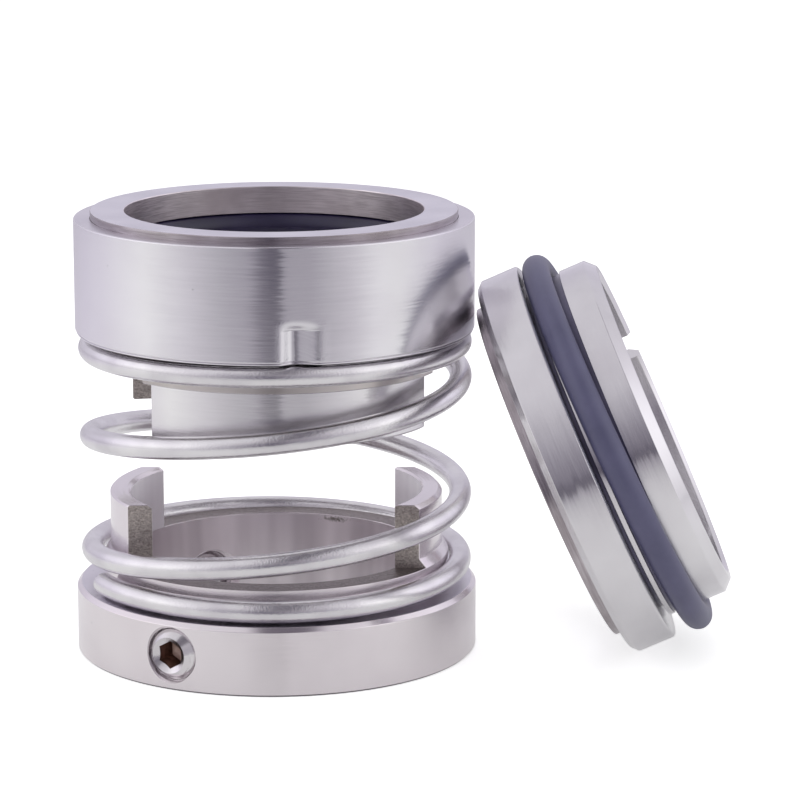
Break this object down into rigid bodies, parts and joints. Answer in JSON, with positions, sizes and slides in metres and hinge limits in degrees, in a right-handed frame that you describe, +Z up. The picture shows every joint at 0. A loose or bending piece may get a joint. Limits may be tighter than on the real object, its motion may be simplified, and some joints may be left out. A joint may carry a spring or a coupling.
{
  "type": "component mechanical seal",
  "caption": "Fork-driven component shaft seal: sprung rotary head with a lapped face ring on a set-screw drive collar, and a loose stationary seat with an O-ring, leaning on it.",
  "frame": {"origin": "on the shaft axis, at the drive collar's bottom face", "axes": "+Z up the shaft axis from the drive collar to the rotary face ring, +X towards the loose seat, +Y away from the camera of the picture"},
  "size_m": [0.1275, 0.0801, 0.086],
  "materials": {
    "stainless": "satin turned stainless steel",
    "screw_steel": "stainless set screw",
    "spring_wire": "drawn stainless wire, polished",
    "lapped_face": "hard face ring, lapped flat and matte",
    "black_rubber": "moulded blue-black elastomer",
    "slate_rubber": "moulded slate-blue elastomer"
  },
  "bodies": {
    "collar": {"drive_collar": "stainless", "seat_body": "stainless", "seat_face_ring": "lapped_face", "seat_o_ring": "slate_rubber"},
    "screw_front": {"set_screw_front": "screw_steel"},
    "screw_back": {"set_screw_back": "screw_steel"},
    "spring": {"coil_spring": "spring_wire"},
    "head": {"push_ring": "stainless", "shaft_o_ring": "black_rubber", "ring_carrier": "stainless", "face_ring": "lapped_face"}
  },
  "joints": [
    {"name": "screw_front_travel", "type": "slide", "parent": "collar", "child": "screw_front", "axis": [0.4848, 0.8746, 0], "range_m": [-0.004, 0.0007]},
    {"name": "screw_back_travel", "type": "slide", "parent": "collar", "child": "screw_back", "axis": [0.515, -0.8572, 0], "range_m": [-0.004, 0.0007]},
    {"name": "head_turn", "type": "hinge", "parent": "collar", "child": "spring", "pos_m": [0, 0, 0], "axis": [0, 0, 1], "range_deg": [-13, 0]},
    {"name": "head_stroke", "type": "slide", "parent": "spring", "child": "head", "axis": [0, 0, -1], "range_m": [0, 0.022], "stiffness_N_per_m": 4000, "springref_m": -0.002, "deforming": ["coil_spring"]}
  ],
  "couplings": [
    {"joint": "head_turn", "follows": "head_stroke", "rad_per_m": -9.6}
  ]
}
